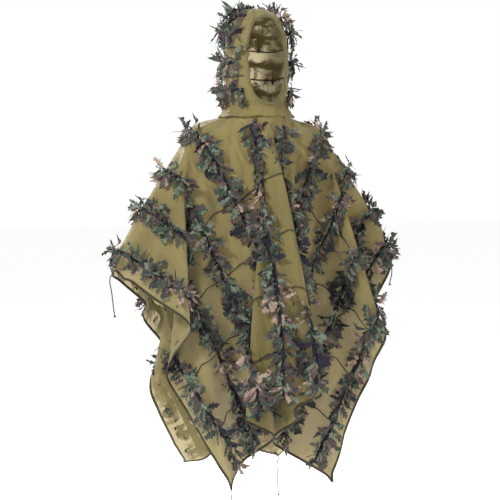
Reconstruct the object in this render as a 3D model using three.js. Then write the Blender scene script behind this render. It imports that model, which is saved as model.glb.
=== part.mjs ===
// A hooded ghillie poncho: a light rectangular cape with a hood at its middle, leaf garlands sewn
// on in rows, thin garnish cords between the rows, bound edges and tie cords at the corners.
// Units are millimetres, +Z is up and the front faces -Y. The origin is at the middle of the neck
// seam, where the hood meets the collar, because the wearer's neck and shoulders carry the poncho.
import * as THREE from 'three';
import { mergeVertices } from 'three/addons/utils/BufferGeometryUtils.js';

// ---- Driving dimensions -------------------------------------------------------------------------
const clearance = 0.3;            // between pieces that are sewn face to face

const capeWidth = 1440;           // flat cloth, hand to hand
const capeLength = 2040;          // flat cloth, front hem to back hem
const clothThickness = 3;         // cloth with its seam allowances
const shoulderReach = 200;        // neck centre to the point of the shoulder
const chestReach = 138;           // neck centre to the fall of the chest and back
const neckSlope = 17;             // degrees below level on top of the shoulders
const armSlopeLeft = 60;          // degrees below level along the arms
const armSlopeRight = 57;
const bodySlope = 86.5;           // degrees below level at the front and back
const cornerFlare = 2.5;          // degrees that the corners swing out further
const shoulderRound = 110;        // length of cloth that bends over the shoulder
const takeUpLeft = 0.05;          // share of the cloth's reach that its folds take up
const takeUpRight = 0.15;
const takeUpBody = 0.03;

const collarHalfWidth = 93;
const collarHalfDepth = 106;
const collarHeight = 26;
const collarThickness = 4;

const hoodHeight = 290;
const hoodHalfWidth = 94;
const hoodHalfDepth = 116;
const hoodThickness = 3;
const faceHalfWidth = 60;
const faceBottom = 8;
const faceTop = 264;
const casingRadius = 4.5;

const bindingWidth = 7;
const bindingThickness = 4;
const bindingGap = 0.98;          // the cloth's edge waves, so its binding stands a little off

const garlandRows = 10;           // rows of leaves from side to side
const garlandWidth = 26;
const garlandThickness = 5;
const garlandLift = 3.5;          // its stitches gather the strip a little off the cloth
const garlandEdgeGap = 22;        // from the end of a row to the binding
const garnishThickness = 2.4;
const garnishLift = garlandLift + garlandThickness + 0.9;
const garnishRows = 4;            // cords across the front, and across the back
const garnishStart = 300;         // from the shoulder line to the first cord
const garnishHemGap = 180;        // from the last cord to the hem

const hoodGarlandHeights = [45, 130, 215];
const hoodGarlandWidth = 24;
const hoodGarlandLift = 1;
const hoodGarnishHeights = [88, 173];

const tieDiameter = 3.2;
const tieKnotRadius = 3.4;

// ---- Materials ----------------------------------------------------------------------------------
const finish = (color, roughness) =>
  new THREE.MeshStandardMaterial({ color, roughness, metalness: 0 });
const clothFinish = () => finish(0x8f8550, 0.85);
const bindingFinish = () => finish(0x3b331e, 0.8);
const garlandFinish = () => finish(0x49513a, 0.9);
const cordFinish = () => finish(0x352f20, 0.75);

const poncho = new THREE.Group();
poncho.name = 'ghillie_poncho';

function addPiece(name, geometry, material) {
  const mesh = new THREE.Mesh(geometry, material);
  mesh.name = name;
  poncho.add(mesh);
  return mesh;
}

// ---- Small tools --------------------------------------------------------------------------------
const radians = THREE.MathUtils.degToRad;
const mix = THREE.MathUtils.lerp;
const smooth = (x, low, high) => THREE.MathUtils.smoothstep(x, low, high);
const span = (from, to, count) =>
  Array.from({ length: count + 1 }, (_, i) => mix(from, to, i / count));

// A closed geometry from corner points and triangles, without the triangles that have no area.
function closedGeometry(points, triangles) {
  const raw = new THREE.BufferGeometry();
  raw.setAttribute('position',
    new THREE.Float32BufferAttribute(points.flatMap((p) => [p.x, p.y, p.z]), 3));
  raw.setIndex(triangles.flat());
  const merged = mergeVertices(raw, 1e-3);
  const index = Array.from(merged.index.array);
  const kept = [];
  for (let i = 0; i < index.length; i += 3) {
    const [a, b, c] = index.slice(i, i + 3);
    if (a !== b && b !== c && c !== a) kept.push(a, b, c);
  }
  merged.setIndex(kept);
  merged.computeVertexNormals();
  return merged;
}

// A sheet of cloth with a thickness. surface(i, j) gives the middle of the sheet and its outward
// normal at each place of a grid; normals point to the same side all over.
function thickSheet(columns, rows, surface, thickness, flip = false) {
  const points = [];
  const triangles = [];
  const at = (i, j, side) => (i * (rows + 1) + j) * 2 + side;
  for (let i = 0; i <= columns; i += 1) {
    for (let j = 0; j <= rows; j += 1) {
      const { point, normal } = surface(i, j);
      points.push(point.clone().addScaledVector(normal, thickness / 2));
      points.push(point.clone().addScaledVector(normal, -thickness / 2));
    }
  }
  const quad = (a, b, c, d) => {
    if (flip) triangles.push([a, c, b], [a, d, c]);
    else triangles.push([a, b, c], [a, c, d]);
  };
  for (let i = 0; i < columns; i += 1) {
    for (let j = 0; j < rows; j += 1) {
      quad(at(i, j, 0), at(i + 1, j, 0), at(i + 1, j + 1, 0), at(i, j + 1, 0));
      quad(at(i, j, 1), at(i, j + 1, 1), at(i + 1, j + 1, 1), at(i + 1, j, 1));
    }
    quad(at(i, 0, 1), at(i + 1, 0, 1), at(i + 1, 0, 0), at(i, 0, 0));
    quad(at(i, rows, 0), at(i + 1, rows, 0), at(i + 1, rows, 1), at(i, rows, 1));
  }
  for (let j = 0; j < rows; j += 1) {
    quad(at(0, j, 0), at(0, j + 1, 0), at(0, j + 1, 1), at(0, j, 1));
    quad(at(columns, j, 1), at(columns, j + 1, 1), at(columns, j + 1, 0), at(columns, j, 0));
  }
  return closedGeometry(points, triangles);
}

// A ring of round section along a closed line of points.
function ringTube(line, radius, sides) {
  const centre = line.reduce((sum, p) => sum.add(p), new THREE.Vector3()).divideScalar(line.length);
  const points = [];
  const triangles = [];
  line.forEach((point, i) => {
    const before = line[(i + line.length - 1) % line.length];
    const after = line[(i + 1) % line.length];
    const along = after.clone().sub(before).normalize();
    const out = point.clone().sub(centre);
    out.addScaledVector(along, -out.dot(along)).normalize();
    const across = along.clone().cross(out);
    for (let k = 0; k < sides; k += 1) {
      const turn = (2 * Math.PI * k) / sides;
      points.push(point.clone().addScaledVector(out, radius * Math.cos(turn))
        .addScaledVector(across, radius * Math.sin(turn)));
    }
  });
  for (let i = 0; i < line.length; i += 1) {
    const next = (i + 1) % line.length;
    for (let k = 0; k < sides; k += 1) {
      const beside = (k + 1) % sides;
      const [a, b] = [i * sides + k, i * sides + beside];
      const [c, d] = [next * sides + beside, next * sides + k];
      triangles.push([a, b, c], [a, c, d]);
    }
  }
  return closedGeometry(points, triangles);
}

// ---- The draped cape ----------------------------------------------------------------------------
// A point of the flat cloth is (u, v): u runs from the wearer's right hand (-) to the left (+), and
// v from the front hem (-) to the back hem (+). Cloth leaves the collar on neckSlope, bends over the
// shoulders and then falls on armSlope at the arms and bodySlope at the front and back.
const halfWidth = capeWidth / 2;
const halfLength = capeLength / 2;
const garnishStep = (halfLength - garnishHemGap - garnishStart) / (garnishRows - 1);
const backGarnishes = Array.from({ length: garnishRows }, (_, i) => garnishStart + i * garnishStep);
const frontGarnishes = backGarnishes.map((place) => -place);
const capeTop = -collarHeight - clearance;
const neckRadius = (angle) =>
  1 / Math.hypot(Math.cos(angle) / collarHalfWidth, Math.sin(angle) / collarHalfDepth);
const edgeRadius = (angle, extra = 0) => Math.min(
  (halfWidth + extra) / Math.abs(Math.cos(angle)), (halfLength + extra) / Math.abs(Math.sin(angle)));
const squareness = 3.2;           // of the shoulders' outline, seen from above
const shoulderRadius = (angle) => (Math.abs(Math.cos(angle) / shoulderReach) ** squareness
  + Math.abs(Math.sin(angle) / chestReach) ** squareness) ** (-1 / squareness);

function fallOf(angle) {
  const side = Math.cos(angle) < 0 ? [armSlopeLeft, takeUpLeft] : [armSlopeRight, takeUpRight];
  const bodyShare = smooth(Math.abs(Math.sin(angle)), 0.04, 0.66);
  return {
    slope: radians(mix(side[0], bodySlope, bodyShare) - cornerFlare * Math.sin(2 * angle) ** 2),
    reach: 1 - mix(side[1], takeUpBody, bodyShare),
  };
}

function capePoint(u, v) {
  const angle = Math.atan2(v, u);
  const start = neckRadius(angle);
  const { slope, reach } = fallOf(angle);
  const run = (Math.hypot(u, v) - start) * reach;
  const bendStart = Math.max(shoulderRadius(angle) - start - shoulderRound / 2, 0);
  const first = radians(neckSlope);
  let out = start + Math.min(run, bendStart) * Math.cos(first);
  let down = Math.min(run, bendStart) * Math.sin(first);
  const bent = THREE.MathUtils.clamp(run - bendStart, 0, shoulderRound);
  const steps = 16;
  for (let i = 0; i < steps; i += 1) {
    const tilt = mix(first, slope, smooth((i + 0.5) * bent / steps, 0, shoulderRound));
    out += (bent / steps) * Math.cos(tilt);
    down += (bent / steps) * Math.sin(tilt);
  }
  const hanging = Math.max(run - bendStart - shoulderRound, 0);
  out += hanging * Math.cos(slope);
  down += hanging * Math.sin(slope);
  return new THREE.Vector3(out * Math.cos(angle), out * Math.sin(angle), capeTop - down);
}

function capeSurface(u, v, lift = 0) {
  const point = capePoint(u, v);
  const step = 1;
  const alongU = capePoint(u + step, v).sub(capePoint(u - step, v));
  const alongV = capePoint(u, v + step).sub(capePoint(u, v - step));
  const normal = alongU.cross(alongV).normalize();
  return { point: point.addScaledVector(normal, lift), normal };
}

const cornerAngle = Math.atan2(halfLength, halfWidth);
const sideAngles = span(0, cornerAngle, 11);
const hemAngles = span(cornerAngle, Math.PI / 2, 6);
const shoulderStops = [0, 30, 52, 70, 88, 106, 126, 150, 190];   // from the collar, over the bend
const hangingRows = 7;

// A quarter of the cape, from the collar to the edges. sideways and forwards are +1 or -1.
function capeQuarter(sideways, forwards) {
  const angles = [...sideAngles, ...hemAngles.slice(1)];
  const last = shoulderStops.length - 1;
  const seam = clearance / 2;
  return thickSheet(angles.length - 1, last + hangingRows, (i, j) => {
    const angle = angles[i];
    const bendEnd = neckRadius(angle) + clearance + shoulderStops[Math.min(j, last)];
    const radius = mix(bendEnd, edgeRadius(angle), Math.max(j - last, 0) / hangingRows);
    const u = Math.max(radius * Math.cos(angle), seam) * sideways;
    const v = Math.max(radius * Math.sin(angle), seam) * forwards;
    return capeSurface(u, v);
  }, clothThickness, sideways * forwards > 0);
}

addPiece('front_right_panel', capeQuarter(-1, -1), clothFinish());
addPiece('front_left_panel', capeQuarter(1, -1), clothFinish());
addPiece('back_right_panel', capeQuarter(-1, 1), clothFinish());
addPiece('back_left_panel', capeQuarter(1, 1), clothFinish());

// A band of cloth on the cape between two flat points, held lift above the cloth. Its bends crowd
// towards its start where crowding is over 1.
function capeBand(from, to, width, thickness, lift, pieces, crowding = 1) {
  const start = new THREE.Vector2(...from);
  const along = new THREE.Vector2(...to).sub(start);
  const across = new THREE.Vector2(-along.y, along.x).normalize().multiplyScalar(width / 2);
  const height = clothThickness / 2 + clearance + thickness / 2 + lift;
  return thickSheet(pieces, 1, (i, j) => {
    const flat = start.clone().addScaledVector(along, (i / pieces) ** crowding)
      .addScaledVector(across, j === 0 ? -1 : 1);
    return capeSurface(flat.x, flat.y, height);
  }, thickness, false);
}

// ---- Edge bindings ------------------------------------------------------------------------------
// Each binding runs just outside the edge of the cloth, and bends where the cloth's edge does. The
// side bindings stop short of the corners, which the hem bindings cover.
const mirrored = (distances) => [...distances.map((d) => -d).reverse(), ...distances.slice(1)];
const sideStops = mirrored(sideAngles.map((angle) => halfWidth * Math.tan(angle)));
const hemCorner = halfWidth + bindingGap + bindingWidth;
const hemStops = mirrored([
  ...hemAngles.map((angle) => halfLength / Math.tan(angle)).reverse(), hemCorner]);

function binding(stops, place, outward) {
  return thickSheet(stops.length - 1, 1, (i, j) => {
    const [u, v] = place(stops[i]);
    const out = bindingGap + (j === 0 ? 0 : bindingWidth);
    return capeSurface(u + out * outward[0], v + out * outward[1]);
  }, bindingThickness, outward[0] > 0 || outward[1] < 0);
}
addPiece('right_side_binding', binding(sideStops, (v) => [-halfWidth, v], [-1, 0]), bindingFinish());
addPiece('left_side_binding', binding(sideStops, (v) => [halfWidth, v], [1, 0]), bindingFinish());
addPiece('front_hem_binding', binding(hemStops, (u) => [u, -halfLength], [0, -1]), bindingFinish());
addPiece('back_hem_binding', binding(hemStops, (u) => [u, halfLength], [0, 1]), bindingFinish());

// ---- Leaf garlands and garnish cords on the cape ------------------------------------------------
const garlandGap = capeWidth / garlandRows;
const garlandPlaces = span(0, garlandRows - 1, garlandRows - 1)
  .map((row) => -halfWidth + garlandGap * (row + 0.5));
// The row nearest the neck starts at the collar's edge; the others start at the shoulder line.
const garlandStart = (u) => {
  const beside = (collarHalfWidth + garlandWidth) ** 2 - u * u;
  return beside > 0 ? collarHalfDepth * Math.sqrt(beside) / collarHalfWidth + garlandWidth / 2
    : clearance;
};
garlandPlaces.forEach((u, row) => {
  const end = halfLength - garlandEdgeGap;
  const start = garlandStart(u);
  addPiece(`front_garland_${row + 1}`,
    capeBand([u, -start], [u, -end], garlandWidth, garlandThickness, garlandLift, 18, 1.3),
    garlandFinish());
  addPiece(`back_garland_${row + 1}`,
    capeBand([u, start], [u, end], garlandWidth, garlandThickness, garlandLift, 18, 1.3),
    garlandFinish());
});
const garnishEnd = halfWidth - garlandEdgeGap;
[['front', frontGarnishes], ['back', backGarnishes]].forEach(([side, places]) => {
  places.forEach((v, i) => addPiece(`${side}_garnish_cord_${i + 1}`,
    capeBand([-garnishEnd, v], [garnishEnd, v], garnishThickness, garnishThickness, garnishLift, 30),
    cordFinish()));
});

// ---- Collar band --------------------------------------------------------------------------------
const ellipse = (halfX, halfY, z, count) => span(0, 2 * Math.PI, count).slice(0, count)
  .map((turn) => new THREE.Vector3(halfX * Math.cos(turn), halfY * Math.sin(turn), z));
function collarGeometry() {
  const count = 40;
  const layers = [
    ellipse(collarHalfWidth, collarHalfDepth, 0, count),
    ellipse(collarHalfWidth, collarHalfDepth, -collarHeight, count),
    ellipse(collarHalfWidth - collarThickness, collarHalfDepth - collarThickness,
      -collarHeight, count),
    ellipse(collarHalfWidth - collarThickness, collarHalfDepth - collarThickness, 0, count),
  ];
  const triangles = [];
  layers.forEach((_, layer) => {
    const below = (layer + 1) % layers.length;
    for (let i = 0; i < count; i += 1) {
      const next = (i + 1) % count;
      const [a, b] = [layer * count + i, below * count + i];
      const [c, d] = [below * count + next, layer * count + next];
      triangles.push([a, b, c], [a, c, d]);
    }
  });
  return closedGeometry(layers.flat(), triangles);
}
addPiece('collar_band', collarGeometry(), clothFinish());

// ---- Hood ---------------------------------------------------------------------------------------
// The hood is a tall dome whose level sections are ellipses. turn is measured round the dome from
// the middle of the face; the face opening is an upright oval cut in its front.
const faceMiddle = (faceTop + faceBottom) / 2;
const faceHalfHeight = (faceTop - faceBottom) / 2;
const domeShare = (z) => (1 - (z / hoodHeight) ** 5) ** 0.385
  * mix(0.94, 1, smooth(z, 0, hoodHeight / 3));
function hoodPoint(turn, z) {
  const share = domeShare(THREE.MathUtils.clamp(z, 0, hoodHeight));
  return new THREE.Vector3(
    hoodHalfWidth * share * Math.sin(turn), -hoodHalfDepth * share * Math.cos(turn), z);
}
function hoodSurface(turn, z, lift = 0) {
  const point = hoodPoint(turn, z);
  const step = 0.5;
  const low = Math.max(z - step, 0);
  const high = Math.min(z + step, hoodHeight - step);
  const around = hoodPoint(turn + 0.01, z).sub(hoodPoint(turn - 0.01, z));
  const up = hoodPoint(turn, high).sub(hoodPoint(turn, low));
  const normal = z > hoodHeight - step ? new THREE.Vector3(0, 0, 1) : around.cross(up).normalize();
  return { point: point.addScaledVector(normal, lift), normal };
}
function faceEdge(z, margin = 0) {
  const height = (z - faceMiddle) / (faceHalfHeight + margin);
  if (Math.abs(height) >= 1) return 0;
  const half = (faceHalfWidth + margin) * Math.sqrt(1 - height * height);
  return Math.asin(Math.min(half / (hoodHalfWidth * domeShare(z)), 0.98));
}
const hoodLevels = [...span(clearance, faceBottom, 1), ...span(faceBottom, faceTop, 14).slice(1),
  ...span(faceTop, hoodHeight - 2, 4).slice(1)];
const casingMargin = casingRadius + 3.2 * clearance;
function hoodHalf(side) {
  const columns = 12;
  return thickSheet(columns, hoodLevels.length - 1, (i, j) => {
    const z = hoodLevels[j];
    const seamTurn = clearance / 2 / (hoodHalfWidth * Math.max(domeShare(z), 0.05));
    const front = Math.max(faceEdge(z, casingMargin), seamTurn);
    return hoodSurface(side * mix(front, Math.PI - seamTurn, i / columns), z);
  }, hoodThickness, side < 0);
}
addPiece('hood_left_side', hoodHalf(1), clothFinish());
addPiece('hood_right_side', hoodHalf(-1), clothFinish());

function casingLine() {
  return span(0, 2 * Math.PI, 40).slice(0, 40).map((turn) => {
    const z = faceMiddle + faceHalfHeight * Math.cos(turn);
    const x = faceHalfWidth * Math.sin(turn);
    const around = Math.asin(x / (hoodHalfWidth * domeShare(z)));
    return hoodPoint(around, z);
  });
}
addPiece('face_opening_casing', ringTube(casingLine(), casingRadius, 8), clothFinish());

function hoodBand(z, width, thickness, lift, columns) {
  const height = hoodThickness / 2 + clearance + thickness / 2 + lift;
  return thickSheet(columns, 1, (i, j) => {
    const level = z + (j === 0 ? -width / 2 : width / 2);
    const front = faceEdge(level, 2 * casingMargin + thickness);
    return hoodSurface(mix(front, 2 * Math.PI - front, i / columns), level, height);
  }, thickness, false);
}
hoodGarlandHeights.forEach((z, i) => addPiece(`hood_garland_${i + 1}`,
  hoodBand(z, hoodGarlandWidth, garlandThickness, hoodGarlandLift, 30), garlandFinish()));
hoodGarnishHeights.forEach((z, i) => addPiece(`hood_garnish_cord_${i + 1}`,
  hoodBand(z, garnishThickness, garnishThickness, 0, 30), cordFinish()));

// ---- Tie cords ----------------------------------------------------------------------------------
// Each tie hangs from the binding at a corner or at the middle of a side. Its points are steps from
// its top end.
const tieRoutes = {
  right_hand: { at: [-halfWidth, 0], steps: [[0, 0, 0], [-4, 1, -8], [-5, 2, -22], [-2, 1, -40],
    [1, 0, -60], [3, -1, -80], [5, -1, -98], [8, -1, -116]] },
  left_hand: { at: [halfWidth, 0], steps: [[0, 0, 0], [3, 1, -8], [2, 1, -22], [-3, 1, -40],
    [-3, 0, -58], [1, -1, -76], [5, -1, -94], [8, -1, -112]] },
  front_right_corner: { at: [-halfWidth, -halfLength], steps: [[0, 0, 0], [1, 0, -6], [1, 0, -12],
    [0, 0, -20], [-1, 0, -28], [-1, 0, -36]] },
  back_left_corner: { at: [halfWidth, halfLength], steps: [[0, 0, 0], [-3, 0, -8], [-4, 0, -22],
    [-3, 0, -40], [-3, 0, -58], [-2, 0, -76], [-1, 0, -94], [1, 0, -110]] },
};
Object.entries(tieRoutes).forEach(([corner, { at, steps }]) => {
  const rim = at.map((place) => place + Math.sign(place) * (bindingWidth + bindingGap));
  const { slope } = fallOf(Math.atan2(rim[1], rim[0]));
  const top = capePoint(...rim);
  top.z -= (1.4 * clearance + tieDiameter / 2 * Math.cos(slope)) / Math.sin(slope);
  const points = steps.map(([x, y, z]) => top.clone().add(new THREE.Vector3(x, y, z)));
  const round = span(0, 2 * Math.PI, 8).slice(0, 8)
    .map((turn) => new THREE.Vector2(Math.cos(turn), Math.sin(turn))
      .multiplyScalar(tieDiameter / 2));
  const cord = new THREE.ExtrudeGeometry(new THREE.Shape(round), {
    steps: 16, extrudePath: new THREE.CatmullRomCurve3(points), curveSegments: 1,
  });
  addPiece(`${corner}_tie`, cord, cordFinish());
  const knot = new THREE.SphereGeometry(tieKnotRadius, 10, 8);
  const below = tieKnotRadius + clearance + 0.4;
  knot.translate(...points.at(-1).clone().add(new THREE.Vector3(0.3, 0, -below)).toArray());
  addPiece(`${corner}_tie_knot`, knot, cordFinish());
});

export default poncho;
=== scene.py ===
"""A hooded ghillie poncho, hanging as worn: draped cloth, leaf garlands, garnish cords, bound edges and ties.

Lengths are in metres, +Z is up and the front faces -Y. The origin is the middle of the neck seam.
"""
import math

import bmesh
import bpy
import numpy as np
from mathutils import Matrix, Vector


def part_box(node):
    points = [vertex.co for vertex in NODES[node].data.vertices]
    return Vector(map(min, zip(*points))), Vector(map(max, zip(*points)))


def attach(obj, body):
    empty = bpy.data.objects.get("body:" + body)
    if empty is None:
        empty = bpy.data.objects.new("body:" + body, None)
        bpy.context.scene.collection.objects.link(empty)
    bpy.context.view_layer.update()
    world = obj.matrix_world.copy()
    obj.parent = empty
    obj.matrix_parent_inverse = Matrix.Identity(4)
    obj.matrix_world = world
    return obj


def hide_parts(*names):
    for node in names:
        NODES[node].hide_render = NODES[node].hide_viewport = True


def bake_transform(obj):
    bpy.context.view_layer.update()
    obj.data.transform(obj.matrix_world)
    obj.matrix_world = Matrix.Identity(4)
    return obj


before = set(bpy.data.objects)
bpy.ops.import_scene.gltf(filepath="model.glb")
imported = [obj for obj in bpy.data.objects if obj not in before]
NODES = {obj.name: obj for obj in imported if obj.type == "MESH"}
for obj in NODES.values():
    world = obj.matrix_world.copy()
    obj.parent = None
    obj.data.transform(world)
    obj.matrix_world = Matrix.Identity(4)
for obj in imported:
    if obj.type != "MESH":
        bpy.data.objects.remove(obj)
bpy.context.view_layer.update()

bl_info = {
    "name": "Ghillie poncho",
    "version": (1, 0, 0),
    "blender": (4, 5, 0),
    "location": "View3D > Sidebar > Poncho",
    "description": "Drapes a hooded ghillie poncho and dresses it with leaf garlands",
    "category": "Add Mesh",
}

CAPE, HOOD = "cape", "hood"
rng = np.random.default_rng(20)


# ---- Sizes and colours a user would change ---------------------------------------------------------
def length(name, description, default):
    return bpy.props.FloatProperty(name=name, description=description, default=default,
                                   unit="LENGTH", precision=4)


def colour(name, description, default):
    return bpy.props.FloatVectorProperty(name=name, description=description, default=default,
                                         subtype="COLOR", size=3, min=0.0, max=1.0)


class PonchoCape(bpy.types.PropertyGroup):
    width: length("Width", "Flat cloth from hand to hand", 1.44)
    length: length("Length", "Flat cloth from front hem to back hem", 2.04)
    weave_cell: length("Mesh cell", "Side of one cell of the draped cloth", 0.02)
    drop_frames: bpy.props.IntProperty(name="Settling time", default=70, min=1,
                                       description="Frames for which the cloth settles")
    arm_slope_right: bpy.props.FloatProperty(name="Right arm slope", default=60.0,
                                             description="Degrees below level along the right arm")
    arm_slope_left: bpy.props.FloatProperty(name="Left arm slope", default=57.0,
                                            description="Degrees below level along the left arm")
    fold_depth: length("Fold depth", "Depth of the folds that the cloth starts with", 0.018)


class PonchoTrim(bpy.types.PropertyGroup):
    binding_width: length("Binding width", "Width of the tape that binds the edges", 0.0075)
    cord_diameter: length("Garnish cord", "Diameter of the garnish cords", 0.0032)
    tie_diameter: length("Tie cord", "Diameter of the tie cords", 0.0032)


class PonchoGarland(bpy.types.PropertyGroup):
    rows: bpy.props.IntProperty(name="Rows", default=10, min=2,
                                description="Garland rows from side to side")
    leaf_length: length("Leaf length", "Length of a middling leaf", 0.043)
    leaf_step: length("Leaf step", "Distance between leaves along a row", 0.0033)


class PonchoColours(bpy.types.PropertyGroup):
    cloth: colour("Cloth", "Olive khaki cloth", (0.275, 0.228, 0.084))
    cloth_deep: colour("Cloth, deeper", "Where the dye took more", (0.2, 0.167, 0.06))
    cloth_lit: colour("Cloth, lit from behind", "Light that comes through the thin cloth", (0.50, 0.42, 0.27))
    binding: colour("Binding", "Dark brown tape", (0.045, 0.033, 0.012))
    cord: colour("Cord", "Dark olive cord", (0.035, 0.03, 0.014))


# ---- Small tools -------------------------------------------------------------------------------------
def settings(name):
    return getattr(bpy.context.scene, name)


def mix(a, b, share):
    return a + (b - a) * share


def smooth(x, low, high):
    share = np.clip((np.asarray(x) - low) / (high - low), 0, 1)
    return share * share * (3 - 2 * share)


def unit(vectors):
    return vectors / np.maximum(np.linalg.norm(vectors, axis=-1, keepdims=True), 1e-9)


def new_piece(name, points, faces, material, uv=None, shade_smooth=True):
    """A mesh object at the origin, with an optional UV place for each point."""
    mesh = bpy.data.meshes.new(name)
    mesh.from_pydata([tuple(p) for p in points], [], faces)
    mesh.update()
    if uv is not None:
        layer = mesh.uv_layers.new(name="Flat")
        index = np.empty(len(mesh.loops), dtype=np.int32)
        mesh.loops.foreach_get("vertex_index", index)
        layer.data.foreach_set("uv", np.asarray(uv, dtype=np.float32)[index].ravel())
    mesh.materials.append(material)
    if shade_smooth:
        mesh.polygons.foreach_set("use_smooth", [True] * len(mesh.polygons))
    piece = bpy.data.objects.new(name, mesh)
    bpy.context.scene.collection.objects.link(piece)
    return piece


def applied(piece):
    """Turns the piece's modifiers into plain mesh."""
    graph = bpy.context.evaluated_depsgraph_get()
    graph.update()
    mesh = bpy.data.meshes.new_from_object(piece.evaluated_get(graph), depsgraph=graph)
    mesh.name = piece.name
    piece.modifiers.clear()
    piece.data = mesh
    return piece


def sweep(line, normals, section, closed=False):
    """Points, faces and a (along, around) place for a section carried along a line. The section's
    points are (across, out); out follows the normals."""
    line, normals = np.asarray(line), np.asarray(normals)
    if closed:
        along = np.roll(line, -1, 0) - np.roll(line, 1, 0)
    else:
        along = np.gradient(line, axis=0)
    along = unit(along)
    out = unit(normals - along * (normals * along).sum(-1, keepdims=True))
    across = np.cross(along, out)
    section = np.asarray(section)
    rings = (line[:, None] + across[:, None] * section[None, :, :1] + out[:, None] * section[None, :, 1:])
    count, sides = len(line), len(section)
    reach = np.concatenate([[0], np.cumsum(np.linalg.norm(np.diff(line, axis=0), axis=1))])
    uv = np.stack([np.repeat(reach, sides), np.tile(np.arange(sides) / sides, count)], -1)
    faces = []
    for i in range(count if closed else count - 1):
        for k in range(sides):
            a, b = i * sides + k, i * sides + (k + 1) % sides
            c, d = (i + 1) % count * sides + (k + 1) % sides, (i + 1) % count * sides + k
            faces.append((a, b, c, d))
    if not closed:
        faces.append(tuple(range(sides))[::-1])
        faces.append(tuple((count - 1) * sides + k for k in range(sides)))
    return rings.reshape(-1, 3), faces, uv


def round_section(radius, sides, flatten=1.0):
    turn = np.linspace(0, 2 * math.pi, sides, endpoint=False)
    return np.stack([radius * np.cos(turn), -radius * flatten * np.sin(turn)], -1)


# ---- Materials -----------------------------------------------------------------------------------------
class Shader:
    """A short way to build one node material."""

    def __init__(self, name, roughness, sheen=0.0):
        self.material = bpy.data.materials.new(name)
        self.material.use_nodes = True
        self.nodes = self.material.node_tree.nodes
        self.links = self.material.node_tree.links
        self.surface = self.nodes["Principled BSDF"]
        self.surface.inputs["Roughness"].default_value = roughness
        self.surface.inputs["Sheen Weight"].default_value = sheen
        self.surface.inputs["Specular IOR Level"].default_value = 0.25

    def add(self, kind, **values):
        node = self.nodes.new(kind)
        for key, value in values.items():
            if key in node.inputs:
                node.inputs[key].default_value = value
            else:
                setattr(node, key, value)
        return node

    def join(self, source, target):
        self.links.new(source, target)

    def coordinates(self, output="Object"):
        return self.add("ShaderNodeTexCoord").outputs[output]

    def noise(self, vector, scale, detail=3.0, roughness=0.5):
        node = self.add("ShaderNodeTexNoise", Scale=scale, Detail=detail, Roughness=roughness)
        self.join(vector, node.inputs["Vector"])
        return node.outputs["Fac"]

    def ramp(self, factor, stops, constant=False):
        node = self.add("ShaderNodeValToRGB")
        ramp = node.color_ramp
        ramp.interpolation = "CONSTANT" if constant else "LINEAR"
        while len(ramp.elements) < len(stops):
            ramp.elements.new(0.5)
        for element, (place, shade) in zip(ramp.elements, stops):
            element.position = place
            element.color = (*shade, 1.0)
        self.join(factor, node.inputs["Fac"])
        return node.outputs["Color"]

    def maths(self, operation, first, second):
        node = self.add("ShaderNodeMath", operation=operation)
        for socket, value in zip(node.inputs, (first, second)):
            if isinstance(value, (int, float)):
                socket.default_value = value
            else:
                self.join(value, socket)
        return node.outputs[0]

    def bump(self, height, strength, distance, under=None):
        node = self.add("ShaderNodeBump", Strength=strength, Distance=distance)
        self.join(height, node.inputs["Height"])
        if under is not None:
            self.join(under, node.inputs["Normal"])
        self.join(node.outputs["Normal"], self.surface.inputs["Normal"])

    def let_light_through(self, colour_output, share):
        """Thin cloth glows where light is behind it."""
        glow = self.add("ShaderNodeBsdfTranslucent")
        self.join(colour_output, glow.inputs["Color"])
        blend = self.add("ShaderNodeMixShader", Fac=share)
        self.join(self.surface.outputs["BSDF"], blend.inputs[1])
        self.join(glow.outputs["BSDF"], blend.inputs[2])
        self.join(blend.outputs["Shader"], self.nodes["Material Output"].inputs["Surface"])


def cloth_material():
    shades = settings("poncho_colours")
    shader = Shader("poncho_cloth", 0.82, sheen=0.2)
    flat = shader.coordinates("UV")
    patchy = shader.noise(flat, 3.2, 5.0, 0.6)
    base = shader.ramp(patchy, [(0.3, shades.cloth_deep), (0.62, shades.cloth)])
    threads = shader.add("ShaderNodeTexWave", Scale=260.0, Distortion=0.6)
    threads.bands_direction = "X"
    shader.join(flat, threads.inputs["Vector"])
    picks = shader.add("ShaderNodeTexWave", Scale=260.0, Distortion=0.6)
    picks.bands_direction = "Y"
    shader.join(flat, picks.inputs["Vector"])
    weave = shader.maths("MULTIPLY", threads.outputs["Fac"], picks.outputs["Fac"])
    slubs = shader.noise(flat, 90.0, 2.0)
    height = shader.maths("ADD", weave, slubs)
    creases = shader.add("ShaderNodeMapping")
    creases.inputs["Scale"].default_value = (24.0, 4.5, 1.0)
    shader.join(flat, creases.inputs["Vector"])
    crumple = shader.noise(creases.outputs["Vector"], 1.6, 5.0, 0.55)
    soft = shader.add("ShaderNodeBump", Strength=0.8, Distance=0.02)
    shader.join(crumple, soft.inputs["Height"])
    shader.bump(height, 0.25, 0.0006, soft.outputs["Normal"])
    tint = shader.add("ShaderNodeMix", data_type="RGBA", blend_type="MULTIPLY")
    tint.inputs[0].default_value = 0.35
    shader.join(base, tint.inputs[6])
    shader.join(shader.ramp(slubs, [(0.3, (0.7, 0.7, 0.7)), (0.7, (1.0, 1.0, 1.0))]), tint.inputs[7])
    shader.join(tint.outputs[2], shader.surface.inputs["Base Color"])
    through = shader.ramp(patchy, [(0.3, tuple(shades.cloth_lit)), (0.7, tuple(shades.cloth_lit))])
    shader.let_light_through(through, 0.36)
    return shader.material


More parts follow.
